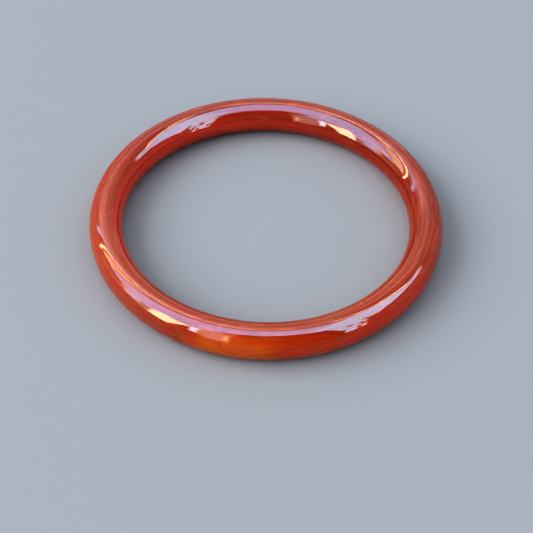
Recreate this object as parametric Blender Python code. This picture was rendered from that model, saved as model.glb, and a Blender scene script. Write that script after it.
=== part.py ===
"""A polished agate bangle: one closed ring of stone, worn on the wrist.

The ring is turned about the vertical axis Z from one oval section, and it has no other piece.
The origin is the centre of the ring, in the plane that it rests on, with +Z up.

Run it with: blender --background --python part.py
"""

import math

import bmesh
import bpy
from mathutils import Vector

MM = 0.001

# Driving dimensions of the ring.
INNER_DIAMETER = 58.0 * MM  # the wrist hole, which is the size a bangle is sold by
BAR_WIDTH = 6.7 * MM  # the stone bar across its section, from the wrist side to the outside
BAR_HEIGHT = 7.5 * MM  # the same bar along the wrist, a little more than its width

# How finely the round shapes are divided.
RING_STEPS = 96  # around the ring
SECTION_SIDES = 32  # around the section, a multiple of 4

# Derived places.
CENTRE_RADIUS = (INNER_DIAMETER + BAR_WIDTH) / 2
CENTRE_HEIGHT = BAR_HEIGHT / 2

# The stone's colour, gloss and sheen of polish.
CARNELIAN_RED = (0.42, 0.045, 0.018, 1.0)
POLISH_ROUGHNESS = 0.05
AGATE_IOR = 1.54


def clear_scene():
    """Removes every object that the file starts with."""
    for obj in list(bpy.data.objects):
        bpy.data.objects.remove(obj)


def stone_material():
    """Red agate: a dielectric with a polished, glossy surface."""
    material = bpy.data.materials.new("red_agate")
    material.use_nodes = True
    shader = material.node_tree.nodes["Principled BSDF"]
    shader.inputs["Base Color"].default_value = CARNELIAN_RED
    shader.inputs["Roughness"].default_value = POLISH_ROUGHNESS
    shader.inputs["Metallic"].default_value = 0.0
    shader.inputs["IOR"].default_value = AGATE_IOR
    return material


def section_points():
    """The oval section in the XZ plane, counter-clockwise seen from -Y.

    The corners are half a step away from the axes, so that a side, and not a corner, is lowest.
    Those lowest sides form the narrow flat ring that the bangle rests on. Dividing by the
    cosine of half a step puts the middles of the four extreme sides on the oval itself, which
    keeps the bar's width and height exact.
    """
    half_step = math.pi / SECTION_SIDES
    half_width = BAR_WIDTH / 2 / math.cos(half_step)
    half_height = BAR_HEIGHT / 2 / math.cos(half_step)
    points = []
    for side in range(SECTION_SIDES):
        angle = half_step * (2 * side + 1)
        across = CENTRE_RADIUS + half_width * math.cos(angle)
        up = CENTRE_HEIGHT + half_height * math.sin(angle)
        points.append(Vector((across, 0.0, up)))
    return points


def spun_ring(name):
    """The section spun once about Z, as one closed mesh."""
    work = bmesh.new()
    corners = [work.verts.new(point) for point in section_points()]
    outline = [
        work.edges.new((corner, corners[(index + 1) % SECTION_SIDES]))
        for index, corner in enumerate(corners)
    ]
    bmesh.ops.spin(
        work,
        geom=corners + outline,
        cent=(0.0, 0.0, 0.0),
        axis=(0.0, 0.0, 1.0),
        angle=math.tau,
        steps=RING_STEPS,
        use_merge=True,
    )
    bmesh.ops.recalc_face_normals(work, faces=work.faces)
    mesh = bpy.data.meshes.new(name)
    work.to_mesh(mesh)
    work.free()
    return mesh


def bangle_ring():
    """The whole bangle: a single ring ground from one slab of agate."""
    mesh = spun_ring("bangle_ring")
    mesh.shade_smooth()
    mesh.materials.append(stone_material())
    ring = bpy.data.objects.new("bangle_ring", mesh)
    bpy.context.scene.collection.objects.link(ring)
    return ring


def main():
    clear_scene()
    bangle_ring()


main()
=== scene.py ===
"""The looks of the agate bangle: translucent banded stone, a pale floor and soft studio light.

Lengths are in metres unless a name says otherwise. Angles are in degrees.
"""

import math

import bpy
from mathutils import Matrix, Vector, noise


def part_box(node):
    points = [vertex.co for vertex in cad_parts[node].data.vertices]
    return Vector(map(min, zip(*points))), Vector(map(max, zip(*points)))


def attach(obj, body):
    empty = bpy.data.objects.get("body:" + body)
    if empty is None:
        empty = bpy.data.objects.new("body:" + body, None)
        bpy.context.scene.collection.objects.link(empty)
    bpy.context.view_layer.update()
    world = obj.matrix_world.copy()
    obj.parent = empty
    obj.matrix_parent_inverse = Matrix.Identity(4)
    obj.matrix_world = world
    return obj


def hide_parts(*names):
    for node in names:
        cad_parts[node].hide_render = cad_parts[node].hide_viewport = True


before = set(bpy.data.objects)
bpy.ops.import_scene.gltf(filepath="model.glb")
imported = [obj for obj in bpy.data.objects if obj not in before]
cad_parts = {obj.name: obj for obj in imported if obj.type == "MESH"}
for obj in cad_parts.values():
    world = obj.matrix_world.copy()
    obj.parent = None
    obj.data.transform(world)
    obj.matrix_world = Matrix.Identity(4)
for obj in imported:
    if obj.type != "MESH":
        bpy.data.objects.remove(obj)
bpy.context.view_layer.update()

# The ring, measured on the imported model.
RING_NODE = "bangle_ring"
RING_LOW, RING_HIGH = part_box(RING_NODE)
RADII = [v.co.xy.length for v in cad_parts[RING_NODE].data.vertices]
INNER_RADIUS, OUTER_RADIUS = min(RADII), max(RADII)
BAR_HALF_WIDTH = (OUTER_RADIUS - INNER_RADIUS) / 2
BAR_HALF_HEIGHT = (RING_HIGH.z - RING_LOW.z) / 2
CENTRE_RADIUS = (OUTER_RADIUS + INNER_RADIUS) / 2
CENTRE_HEIGHT = (RING_HIGH.z + RING_LOW.z) / 2
MM = 0.001

# The fine ring.
RING_STEPS = 480
SECTION_STEPS = 80
POLISH_WAVE = 0.02 * MM  # how far below true hand polishing leaves the surface
POLISH_WAVE_LENGTH = 6 * MM
BLUNT_CORNERS = 3  # the oval has very blunt corners: outer top, outer bottom and wrist side
CORNER_HEIGHT = 0.075 * MM

# The stone lets light in, and its polish is sharp.
POLISH_ROUGHNESS = 0.03
AGATE_IOR = 1.54
GLOW_DEPTH = 12.0 * MM  # how far light wanders inside
GLOW_BY_COLOUR = (1.0, 0.25, 0.1)  # the share of that depth that red, green and blue reach

# The camera, which looks down at the front of the ring.
CAMERA_DISTANCE = 7.305 * CENTRE_RADIUS
CAMERA_ELEVATION = 44.57
CAMERA_TURN = -0.06
CAMERA_TILT = -2.42
CAMERA_ROLL = 1.30
CAMERA_LENS_MM = 78.7
CAMERA_NEAREST = 0.01

# The floor.
FLOOR_HALF = 3.0
FLOOR_GREY = (0.455, 0.500, 0.550)

# The light that shades the stone and the floor.
SURROUNDINGS = (0.45, 0.45, 0.46)
KEY_PLACE = (-2.4, -0.45, 1.95)
KEY_SIZE = (3.6, 2.1)
KEY_WATTS = 45.0
KEY_COLOUR = (1.0, 0.97, 0.93)

# Colours of the stone. VIVID_ORANGE and ORANGE_RED also give the lower front a painted glow, and
# DARK_RED is also painted shade on the right.
VIVID_ORANGE = (0.68, 0.190, 0.005)
ORANGE_RED = (0.58, 0.100, 0.006)
ORANGE = (0.37, 0.070, 0.014)
RED = (0.40, 0.050, 0.012)
DARK_RED = (0.28, 0.030, 0.008)
CLEAR_RED = (0.58, 0.082, 0.036)
PALE_ORANGE = (0.54, 0.150, 0.050)
MILKY = (0.52, 0.170, 0.110)
BROWN = (0.34, 0.080, 0.040)

# Patches of colour in the stone, and a few patches of painted light: painted glow where light comes
# through the lower front, and painted shade on the right. A place on the ring is a turn and a lean.
# The turn is the angle round the ring, -90 at the front and 0 at the right. The lean is the angle
# round the bar's section: 0 faces outwards, 90 up and 180 the wrist.
# Each patch is name: (turn, lean, half turn, half lean, strength, colour).
PATCHES = {
    "clear_left": (-168, 145, 45, 42, 0.9, CLEAR_RED),
    # Painted shade: the right side is made darker red, where less of the light from the left falls.
    "painted_shade_right": (22, 116, 72, 70, 0.85, DARK_RED),
    "dark_far_top": (112, 80, 62, 42, 0.95, DARK_RED),
    "clear_back": (128, 172, 68, 48, 0.95, CLEAR_RED),
    "brown_back": (88, 150, 24, 22, 0.6, BROWN),
    # Painted shade, as above, on the inner side of the right.
    "painted_shade_right_in": (42, 152, 26, 24, 0.6, DARK_RED),
    "brown_front": (-85, 103, 45, 32, 0.7, ORANGE),
    "dark_front_top": (-58, 94, 34, 26, 0.45, DARK_RED),
    "milky_left": (-176, 92, 32, 40, 0.2, MILKY),
    "milky_low_left": (-138, 12, 28, 50, 0.35, MILKY),
    "pale_left_out": (-170, 38, 30, 32, 0.35, PALE_ORANGE),
    "milky_right": (-18, 50, 27, 17, 0.4, MILKY),
    "clear_right": (-50, 5, 40, 60, 0.95, CLEAR_RED),
    # Painted glow: the lower front is the stone's clearer orange, painted brighter where light
    # comes through the stone and out there.
    "orange_middle_painted_glow": (-84, 15, 24, 60, 0.8, ORANGE_RED),
    "clear_front_painted_glow": (-100, 8, 16, 66, 0.95, VIVID_ORANGE),
    "milky_front": (-105, 48, 9, 18, 0.6, MILKY),
}
PATCH_WHOLE = 0.35  # a patch has its whole strength up to this share of its half size
PATCH_GONE = 1.15  # and none from this share on
PATCH_WANDER_TURN = 12.0
PATCH_WANDER_LEAN = 30.0

# Thin pale sheets that cut through the stone and show as lines. Lengths are in mm. A sheet runs
# along the ring by slope * t + curve * t^2, where t is the way round the section.
# Each sheet is name: (turn, lean, slope, curve, half width, half span, strength).
SHEETS = {
    "curled_sheet": (-104, 72, 0.0, 0.75, 0.35, 3.0, 0.3),
    "steep_sheet": (-96, 20, -2.6, 0.0, 0.4, 1.9, 0.6),
    "slanted_sheet": (-114, 7, -1.05, 0.0, 0.16, 3.6, 0.55),
    "left_sheet": (-173.5, 105, -0.73, 0.0, 0.45, 3.4, 0.2),
    "right_sheet": (-8, 68, 1.6, 0.9, 0.4, 1.8, 0.25),
    "inner_fleck": (-55, 110, 0.15, 0.0, 0.12, 0.9, 0.9),
}
SHEET_FADE = 0.6  # a sheet starts to fade at this share of its half span
SHEET_WANDER_TURN = 2.0

# Panels of light that the polish reflects. Each is a box with a soft, ragged edge in a map of the
# dome, which gives how far right and how far away a direction is from straight up, in degrees.
# A later panel covers an earlier one. Each panel is name: (right, away, half width, half depth,
# turn, edge, raggedness, colour and strength).
PANELS = {
    "left_haze": (-80, -2, 12, 25, 0, 8, 9, (1.1, 1.0, 0.9)),
    "left_low_haze": (-72, -22, 12, 20, 0, 6, 12, (1.8, 2.0, 1.7)),
    "far_room": (0, 70, 36, 40, 0, 10, 5, (1.2, 0.95, 0.9)),
    "far_haze": (-16, 31, 16, 13, 0, 13, 6, (2.7, 2.6, 2.8)),
    "sky": (-6, -7, 58, 20, 0, 3, 9, (2.7, 4.4, 6.7)),
    "sky_near": (-30, -28, 9, 10, 20, 3, 9, (2.7, 4.4, 6.7)),
    "sky_right": (38, -3.5, 20, 19.5, 0, 2, 9, (3.2, 6.2, 8.3)),
    "sky_tip": (48, 15, 8, 8, -12, 2, 7, (3.8, 4.9, 6.0)),
    "sky_left": (-66, -10, 14, 8, 25, 3, 12, (3.0, 4.8, 6.3)),
    "sky_beyond": (-42, 38, 16, 1.5, -8, 2, 2, (2.8, 4.2, 5.6)),
    "warm_wall": (-44, 21.5, 16, 7, 3, 2, 12, (5.2, 4.7, 3.5)),
    "wall_gap": (-42, 28.6, 26, 0.6, 2, 0.6, 1, (1.2, 1.0, 1.0)),
    "left_edge_light": (-42, 30.8, 27, 1.0, 2, 0.5, 0, (14.0, 10.0, 5.6)),
    "far_edge_light": (-12, 31, 15, 0.7, 0, 0.5, 0, (10.0, 7.0, 5.0)),
    "near_edge_light": (-5, 25, 19, 0.9, 0, 0.5, 0, (14.0, 10.0, 6.0)),
    "right_edge_light": (26, 18.5, 16, 1.0, -10, 0.5, 0, (14.0, 9.5, 5.5)),
    "warm_patch": (-66, -1, 8, 3, 25, 2, 9, (4.4, 3.5, 2.4)),
    "sky_low_right": (51, -42, 11, 24, 38, 2, 16, (3.2, 6.1, 7.8)),
    "high_gap": (57, -29, 12, 2.0, -28, 1, 10, (0.5, 0.4, 0.4)),
    "low_gap": (60, -40, 11, 1.6, -34, 1, 10, (0.5, 0.4, 0.4)),
    "lowest_gap": (66, -51, 9, 1.4, -38, 1, 10, (0.5, 0.4, 0.4)),
    "notch": (45, -35, 5, 2.0, -42, 1, 6, (0.6, 0.5, 0.5)),
    "low_notch": (52, -53, 5, 2.0, -46, 1, 6, (0.6, 0.5, 0.5)),
    "cream_tip": (70, -48, 7, 2, -35, 1, 12, (8.0, 6.5, 4.0)),
    "near_haze": (-32, -60, 12, 26, -15, 5, 9, (2.2, 2.2, 2.0)),
    "warm_window": (-59, -37, 19, 10, 25, 2, 14, (12.0, 10.5, 7.0)),
    "white_strip": (-41, -48, 2.5, 15, -31, 1.5, 8, (7.5, 9.5, 11.0)),
    "small_lamp": (-24, -62, 1.6, 13, -17, 1.2, 6, (6.5, 5.0, 3.0)),
}

# Between the panels the dome is dim, and goes from the near to the far colour.
NEAR_DIM = (0.40, 0.38, 0.42)
FAR_DIM = (0.60, 0.52, 0.55)
NEAR_DIM_AWAY = -75.0
FAR_DIM_AWAY = 10.0

# The dome that carries the panels.
DOME_RADIUS = 1.5
DOME_REACH = 95  # how far from straight up it goes down
DOME_RINGS = 24
DOME_STEPS = 48

# A card in the photographer's place. It leans behind the camera, about square to its view, and
# goes down to the floor.
CARD_GREY = (0.25, 0.22, 0.22)
CARD_CORNERS = [
    (-0.045, -0.14, 0.262),
    (0.08, -0.14, 0.262),
    (0.14, -0.165, 0.241),
    (0.25, -0.27, 0.152),
    (0.43, -0.45, 0.0),
    (-0.146, -0.45, 0.0),
    (-0.087, -0.27, 0.152),
]


# ---------------------------------------------------------------- node helpers


def feed(tree, socket, source):
    """Links a socket to the source, or sets it where the source is a plain value."""
    if isinstance(source, bpy.types.NodeSocket):
        tree.links.new(source, socket)
    else:
        socket.default_value = source


def calc(tree, operation, *sources):
    """One Math node. Returns its output."""
    node = tree.nodes.new("ShaderNodeMath")
    node.operation = operation
    for socket, source in zip(node.inputs, sources):
        feed(tree, socket, source)
    return node.outputs[0]


def length_of(tree, a, b):
    """The length of the flat vector with these two parts."""
    a_squared = calc(tree, "MULTIPLY", a, a)
    b_squared = calc(tree, "MULTIPLY", b, b)
    return calc(tree, "SQRT", calc(tree, "ADD", a_squared, b_squared))


def angle_past(tree, angle, middle):
    """How far an angle is past the middle one, from -180 to 180."""
    return calc(tree, "WRAP", calc(tree, "SUBTRACT", angle, middle), 180.0, -180.0)


def vec(tree, operation, *sources):
    """One Vector Math node. Returns its vector."""
    node = tree.nodes.new("ShaderNodeVectorMath")
    node.operation = operation
    for socket, source in zip(node.inputs, sources):
        feed(tree, socket, source)
    return node.outputs[0]


def scaled(tree, source, factor):
    """The vector times a number."""
    node = tree.nodes.new("ShaderNodeVectorMath")
    node.operation = "SCALE"
    feed(tree, node.inputs["Vector"], source)
    feed(tree, node.inputs["Scale"], factor)
    return node.outputs[0]


def parts_of(tree, source):
    """The X, Y and Z of a vector."""
    node = tree.nodes.new("ShaderNodeSeparateXYZ")
    feed(tree, node.inputs[0], source)
    return node.outputs[0], node.outputs[1], node.outputs[2]


def joined(tree, x, y, z):
    """The vector with this X, Y and Z."""
    node = tree.nodes.new("ShaderNodeCombineXYZ")
    for socket, source in zip(node.inputs, (x, y, z)):
        feed(tree, socket, source)
    return node.outputs[0]


def step(tree, source, low, high, out_low=0.0, out_high=1.0):
    """A smooth change from out_low to out_high as the source goes from low to high."""
    node = tree.nodes.new("ShaderNodeMapRange")
    node.interpolation_type = "SMOOTHSTEP"
    feed(tree, node.inputs["Value"], source)
    node.inputs["From Min"].default_value = low
    node.inputs["From Max"].default_value = high
    node.inputs["To Min"].default_value = out_low
    node.inputs["To Max"].default_value = out_high
    return node.outputs[0]


def blend(tree, factor, low, high):
    """The low colour where the factor is 0, the high one where it is 1."""
    node = tree.nodes.new("ShaderNodeMix")
    node.data_type = "RGBA"
    feed(tree, node.inputs["Factor"], factor)
    colour_sockets = [socket for socket in node.inputs if socket.type == "RGBA"]
    for socket, colour in zip(colour_sockets, (low, high)):
        feed(tree, socket, (*colour, 1.0) if isinstance(colour, tuple) else colour)
    return next(socket for socket in node.outputs if socket.type == "RGBA")


def cloud(tree, coordinates, scale, detail=2.0, roughness=0.5, w=None):
    """A noise node, in 4 dimensions where w is given."""
    node = tree.nodes.new("ShaderNodeTexNoise")
    node.noise_dimensions = "3D" if w is None else "4D"
    feed(tree, node.inputs["Vector"], coordinates)
    if w is not None:
        feed(tree, node.inputs["W"], w)
    node.inputs["Scale"].default_value = scale
    node.inputs["Detail"].default_value = detail
    node.inputs["Roughness"].default_value = roughness
    return node


def wander(tree, coordinates, scale, detail, roughness):
    """A vector of three different noises, each from -0.5 to 0.5."""
    noises = cloud(tree, coordinates, scale, detail, roughness).outputs["Color"]
    return vec(tree, "SUBTRACT", noises, (0.5, 0.5, 0.5))


def new_material(name):
    """A material with a Principled shader. Returns it, its node tree and the shader."""
    material = bpy.data.materials.new(name)
    material.use_nodes = True
    tree = material.node_tree
    return material, tree, tree.nodes["Principled BSDF"]


def matt_material(name, colour):
    """A plain material without any gloss."""
    material, _, shader = new_material(name)
    shader.inputs["Base Color"].default_value = (*colour, 1.0)
    shader.inputs["Roughness"].default_value = 1.0
    shader.inputs["Specular IOR Level"].default_value = 0.0
    return material


def placed(name, points, faces, material):
    """A mesh object of one material, put in the scene."""
    mesh = bpy.data.meshes.new(name)
    mesh.from_pydata(points, [], faces)
    mesh.materials.append(material)
    thing = bpy.data.objects.new(name, mesh)
    bpy.context.scene.collection.objects.link(thing)
    return thing


# ---------------------------------------------------------------- the stone


class Stone:
    """Places in the stone, as node outputs. Lengths are in mm."""

    def __init__(self, tree):
        place = tree.nodes.new("ShaderNodeTexCoord").outputs["Object"]
        self.tree = tree
        self.place = scaled(tree, place, 1 / MM)
        self.x, self.y, z = parts_of(tree, self.place)
        radius = length_of(tree, self.x, self.y)
        self.across = calc(tree, "SUBTRACT", radius, CENTRE_RADIUS / MM)
        self.up = calc(tree, "SUBTRACT", z, CENTRE_HEIGHT / MM)
        self.turn = calc(tree, "DEGREES", calc(tree, "ARCTAN2", self.y, self.x))
        self.lean = calc(tree, "DEGREES", calc(tree, "ARCTAN2", self.up, self.across))
        self.turn_x = calc(tree, "DIVIDE", self.x, radius)
        self.turn_y = calc(tree, "DIVIDE", self.y, radius)

    def cloud_along(self, change, scale, detail, roughness=0.5):
        """Noise that is drawn out along the ring, the more so the smaller the change."""
        x = calc(self.tree, "MULTIPLY", self.turn_x, change)
        y = calc(self.tree, "MULTIPLY", self.turn_y, change)
        place = joined(self.tree, self.across, self.up, x)
        return cloud(self.tree, place, scale, detail, roughness, w=y).outputs["Fac"]


def patch(tree, turn, lean, middle_turn, middle_lean, half_turn, half_lean):
    """1 in the middle of an oval patch of the surface, fading to 0 at its edge."""
    along = calc(tree, "DIVIDE", angle_past(tree, turn, middle_turn), half_turn)
    round_bar = calc(tree, "DIVIDE", angle_past(tree, lean, middle_lean), half_lean)
    off_middle = length_of(tree, along, round_bar)
    return step(tree, off_middle, PATCH_WHOLE, PATCH_GONE, 1.0, 0.0)


def sheet(tree, turn, lean, middle_turn, middle_lean, slope, curve, half_width, half_span):
    """1 along a thin line of the surface, fading to 0 at its sides and ends."""
    turn_mm = math.radians(1) * CENTRE_RADIUS / MM
    lean_mm = math.radians(1) * (BAR_HALF_WIDTH + BAR_HALF_HEIGHT) / 2 / MM
    along = calc(tree, "MULTIPLY", angle_past(tree, turn, middle_turn), turn_mm)
    t = calc(tree, "MULTIPLY", angle_past(tree, lean, middle_lean), lean_mm)
    slope_at_t = calc(tree, "ADD", slope, calc(tree, "MULTIPLY", t, curve))
    bend = calc(tree, "MULTIPLY", t, slope_at_t)
    off_line = calc(tree, "ABSOLUTE", calc(tree, "SUBTRACT", along, bend))
    line = step(tree, off_line, 0.0, 2 * half_width, 1.0, 0.0)
    off_middle = calc(tree, "ABSOLUTE", t)
    ends = step(tree, off_middle, SHEET_FADE * half_span, half_span, 1.0, 0.0)
    return calc(tree, "MULTIPLY", line, ends)


def with_patches(stone, body, edges):
    """The patches, with edges that wander. Most are the stone's own colour. The glow patches at the
    lower front are partly the stone's clearer orange and partly painted glow, and the dark ones on
    the right are painted shade.
    """
    tree = stone.tree
    edge_turn, edge_lean, _ = parts_of(tree, edges)
    turn = calc(tree, "MULTIPLY_ADD", edge_turn, PATCH_WANDER_TURN, stone.turn)
    lean = calc(tree, "MULTIPLY_ADD", edge_lean, PATCH_WANDER_LEAN, stone.lean)
    for *place, strength, colour in PATCHES.values():
        mask = patch(tree, turn, lean, *place)
        body = blend(tree, calc(tree, "MULTIPLY", mask, strength), body, colour)
    return body


def with_bands(stone, body):
    """Growth bands, the levels of a field that changes slowly round the ring."""
    upward, outward, swirling = 0.8, 0.5, 16.0
    dark_strength, pale_strength = 0.25, 0.3
    tree = stone.tree
    swirl = stone.cloud_along(change=12.0, scale=0.10, detail=2.0)
    rise = calc(tree, "MULTIPLY", stone.up, upward)
    spread = calc(tree, "MULTIPLY", stone.across, outward)
    level = calc(tree, "MULTIPLY_ADD", swirl, swirling, calc(tree, "ADD", rise, spread))
    layers = joined(tree, level, 0.0, 0.0)
    dark = cloud(tree, layers, scale=0.8, detail=4.0, roughness=0.6).outputs["Fac"]
    dark = calc(tree, "MULTIPLY", step(tree, dark, 0.48, 0.66), dark_strength)
    body = blend(tree, dark, body, DARK_RED)
    pale = cloud(tree, layers, scale=1.6, detail=5.0, roughness=0.7).outputs["Fac"]
    pale = calc(tree, "MULTIPLY", step(tree, pale, 0.52, 0.68), pale_strength)
    return blend(tree, pale, body, PALE_ORANGE)


def with_silk(stone, body):
    """Silky streaks along the ring, strongest at the right, weaker at the left and the back."""
    pale_strength, dark_strength = 0.65, 0.4
    left_share, back_share = 0.4, 0.5
    tree = stone.tree
    silk = stone.cloud_along(change=1.2, scale=3.0, detail=3.0, roughness=0.6)
    from_left = step(tree, stone.x, -20.0, 25.0, left_share, 1.0)
    to_back = step(tree, stone.y, -10.0, 30.0, 1.0, back_share)
    share = calc(tree, "MULTIPLY", from_left, to_back)
    pale = calc(tree, "MULTIPLY", step(tree, silk, 0.48, 0.72, 0.0, pale_strength), share)
    body = blend(tree, pale, body, PALE_ORANGE)
    dark = calc(tree, "MULTIPLY", step(tree, silk, 0.28, 0.5, dark_strength, 0.0), share)
    return blend(tree, dark, body, DARK_RED)


def with_thin_lines(stone, body):
    """Thin pale growth lines, at even levels of a field that hardly changes along the ring."""
    level_gap, line_width, strength = 0.04, 0.01, 0.35
    tree = stone.tree
    field = stone.cloud_along(change=2.0, scale=0.3, detail=1.0)
    off_line = calc(tree, "PINGPONG", field, level_gap)
    return blend(tree, step(tree, off_line, 0.0, line_width, strength, 0.0), body, MILKY)


def with_sheets(stone, body, edges):
    """The thin sheets, which wander a little."""
    tree = stone.tree
    edge_turn, _, _ = parts_of(tree, edges)
    turn = calc(tree, "MULTIPLY_ADD", edge_turn, SHEET_WANDER_TURN, stone.turn)
    for *shape, strength in SHEETS.values():
        line = sheet(tree, turn, stone.lean, *shape)
        body = blend(tree, calc(tree, "MULTIPLY", line, strength), body, MILKY)
    return body


def agate_material():
    """Polished carnelian agate: translucent, with bands that run round the ring. Its colour also
    holds painted glow at the lower front and painted shade on the right.
    """
    material, tree, shader = new_material("red_agate")
    stone = Stone(tree)
    edges = wander(tree, stone.place, scale=0.25, detail=4.0, roughness=0.5)
    clouds = cloud(tree, stone.place, scale=0.07).outputs["Fac"]
    body = blend(tree, step(tree, clouds, 0.38, 0.62), RED, ORANGE)
    body = with_patches(stone, body, edges)
    body = with_bands(stone, body)
    body = with_silk(stone, body)
    body = with_thin_lines(stone, body)
    body = with_sheets(stone, body, edges)
    feed(tree, shader.inputs["Base Color"], body)
    shader.inputs["Roughness"].default_value = POLISH_ROUGHNESS
    shader.inputs["IOR"].default_value = AGATE_IOR
    shader.inputs["Subsurface Weight"].default_value = 1.0
    shader.inputs["Subsurface Radius"].default_value = GLOW_BY_COLOUR
    shader.inputs["Subsurface Scale"].default_value = GLOW_DEPTH
    return material


def ring_point(turn, lean):
    """The surface point at an angle round the ring and an angle round the section, in radians."""
    outward = Vector((math.cos(turn), math.sin(turn), 0.0))
    point = outward * (CENTRE_RADIUS + BAR_HALF_WIDTH * math.cos(lean))
    point.z = CENTRE_HEIGHT + BAR_HALF_HEIGHT * math.sin(lean)
    normal = outward * (math.cos(lean) / BAR_HALF_WIDTH)
    normal.z = math.sin(lean) / BAR_HALF_HEIGHT
    wave = (noise.noise(point / POLISH_WAVE_LENGTH) - 1.0) / 2 * POLISH_WAVE
    corner = -CORNER_HEIGHT * math.cos(BLUNT_CORNERS * lean)
    return point + normal.normalized() * (wave + corner)


def agate_ring():
    """The bangle's one piece, ground round and polished."""
    points = []
    faces = []
    for i in range(RING_STEPS):
        near = i * SECTION_STEPS
        far = (i + 1) % RING_STEPS * SECTION_STEPS
        for j in range(SECTION_STEPS):
            k = (j + 1) % SECTION_STEPS
            points.append(ring_point(math.tau * i / RING_STEPS, math.tau * j / SECTION_STEPS))
            faces.append((near + j, far + j, far + k, near + k))
    bangle = placed("agate_ring", points, faces, agate_material())
    bangle.data.shade_smooth()
    return bangle


# ---------------------------------------------------------------- the studio


def floor():
    """A plain pale floor."""
    half = FLOOR_HALF
    corners = [(-half, -half, 0), (half, -half, 0), (half, half, 0), (-half, half, 0)]
    ground = placed("floor", corners, [(0, 1, 2, 3)], matt_material("floor_grey", FLOOR_GREY))
    ground.location.z = RING_LOW.z


def only_reflections(thing):
    """Hides the thing from everything but reflections."""
    thing.visible_camera = False
    thing.visible_diffuse = False
    thing.visible_transmission = False
    thing.visible_volume_scatter = False
    thing.visible_shadow = False


def dome_chart(tree):
    """The map of the dome: a direction's way to the side, as long as its angle from the top."""
    place = tree.nodes.new("ShaderNodeTexCoord").outputs["Object"]
    direction = vec(tree, "NORMALIZE", place)
    _, _, height = parts_of(tree, direction)
    from_top = calc(tree, "MULTIPLY", calc(tree, "ARCCOSINE", height), 180 / math.pi)
    sideways = vec(tree, "NORMALIZE", vec(tree, "MULTIPLY", direction, (1.0, 1.0, 0.0)))
    return scaled(tree, sideways, from_top)


def panel(tree, chart, right, away, half_width, half_depth, turn, edge):
    """1 on a box of the map, fading to 0 across its edge."""
    turned = tree.nodes.new("ShaderNodeVectorRotate")
    turned.rotation_type = "Z_AXIS"
    feed(tree, turned.inputs["Vector"], vec(tree, "SUBTRACT", chart, (right, away, 0.0)))
    turned.inputs["Angle"].default_value = -math.radians(turn)
    u, v, _ = parts_of(tree, vec(tree, "ABSOLUTE", turned.outputs[0]))
    past_side = calc(tree, "SUBTRACT", u, half_width)
    past_end = calc(tree, "SUBTRACT", v, half_depth)
    return step(tree, calc(tree, "MAXIMUM", past_side, past_end), -edge, edge, 1.0, 0.0)


def dome_material():
    """Gives off the light of the dim room and of the panels."""
    material = bpy.data.materials.new("dome_light")
    material.use_nodes = True
    tree = material.node_tree
    tree.nodes.clear()
    chart = dome_chart(tree)
    _, away_angle, _ = parts_of(tree, chart)
    far_share = step(tree, away_angle, NEAR_DIM_AWAY, FAR_DIM_AWAY)
    light = blend(tree, far_share, NEAR_DIM, FAR_DIM)
    edges = wander(tree, chart, scale=0.12, detail=6.0, roughness=0.75)
    for *box, raggedness, colour in PANELS.values():
        ragged_chart = vec(tree, "ADD", chart, scaled(tree, edges, raggedness))
        light = blend(tree, panel(tree, ragged_chart, *box), light, colour)
    emission = tree.nodes.new("ShaderNodeEmission")
    feed(tree, emission.inputs["Color"], light)
    output = tree.nodes.new("ShaderNodeOutputMaterial")
    tree.links.new(emission.outputs[0], output.inputs["Surface"])
    return material


def dome():
    """The panels, on a dome that only reflections see."""
    points = [(0.0, 0.0, DOME_RADIUS)]
    for i in range(1, DOME_RINGS + 1):
        down = math.radians(DOME_REACH) * i / DOME_RINGS
        sideways = DOME_RADIUS * math.sin(down)
        height = DOME_RADIUS * math.cos(down)
        for j in range(DOME_STEPS):
            turn = math.tau * j / DOME_STEPS
            points.append((sideways * math.cos(turn), sideways * math.sin(turn), height))
    faces = [(0, 1 + j, 1 + (j + 1) % DOME_STEPS) for j in range(DOME_STEPS)]
    for i in range(DOME_RINGS - 1):
        upper = 1 + i * DOME_STEPS
        lower = upper + DOME_STEPS
        for j in range(DOME_STEPS):
            k = (j + 1) % DOME_STEPS
            faces.append((upper + j, lower + j, lower + k, upper + k))
    sky = placed("reflection_dome", points, faces, dome_material())
    only_reflections(sky)


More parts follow.
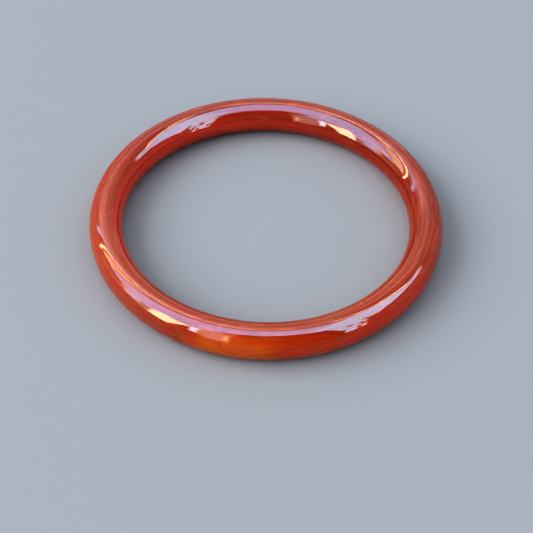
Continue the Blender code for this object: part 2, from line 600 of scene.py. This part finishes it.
def flag():
    """The dark grey card, which keeps the near side of the ring free of glare."""
    outline = tuple(range(len(CARD_CORNERS)))
    grey = matt_material("black_card", CARD_GREY)
    card = placed("black_flag", CARD_CORNERS, [outline], grey)
    only_reflections(card)


def key_light():
    """A large soft light, high on the left and a little to the front. Reflections don't show it."""
    lamp = bpy.data.lights.new("key_light", "AREA")
    lamp.shape = "RECTANGLE"
    lamp.size, lamp.size_y = KEY_SIZE
    lamp.energy = KEY_WATTS
    lamp.color = KEY_COLOUR
    holder = bpy.data.objects.new("key_light", lamp)
    holder.location = KEY_PLACE
    holder.rotation_euler = (-holder.location).to_track_quat("-Z", "Y").to_euler()
    holder.visible_glossy = False
    bpy.context.scene.collection.objects.link(holder)


def surroundings():
    """The same pale grey from all sides."""
    world = bpy.data.worlds.new("pale_room")
    world.use_nodes = True
    background = world.node_tree.nodes["Background"]
    background.inputs["Color"].default_value = (*SURROUNDINGS, 1.0)
    background.inputs["Strength"].default_value = 1.0
    bpy.context.scene.world = world


def camera():
    """The photograph's view."""
    data = bpy.data.cameras.new("camera")
    data.lens = CAMERA_LENS_MM
    data.clip_start = CAMERA_NEAREST
    holder = bpy.data.objects.new("camera", data)
    centre = Matrix.Translation((0.0, 0.0, CENTRE_HEIGHT))
    lift = Matrix.Rotation(math.radians(90 - CAMERA_ELEVATION), 4, "X")
    stand = centre @ lift @ Matrix.Translation((0.0, 0.0, CAMERA_DISTANCE))
    turn = Matrix.Rotation(math.radians(CAMERA_TURN), 4, "Y")
    tilt = Matrix.Rotation(math.radians(CAMERA_TILT), 4, "X")
    roll = Matrix.Rotation(math.radians(CAMERA_ROLL), 4, "Z")
    holder.matrix_world = stand @ turn @ tilt @ roll
    bpy.context.scene.collection.objects.link(holder)
    bpy.context.scene.camera = holder


ring = agate_ring()
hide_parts(RING_NODE)
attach(ring, "root")
floor()
dome()
flag()
key_light()
surroundings()
camera()
bpy.context.scene.view_settings.view_transform = "Standard"
bpy.context.scene.view_settings.look = "Very High Contrast"
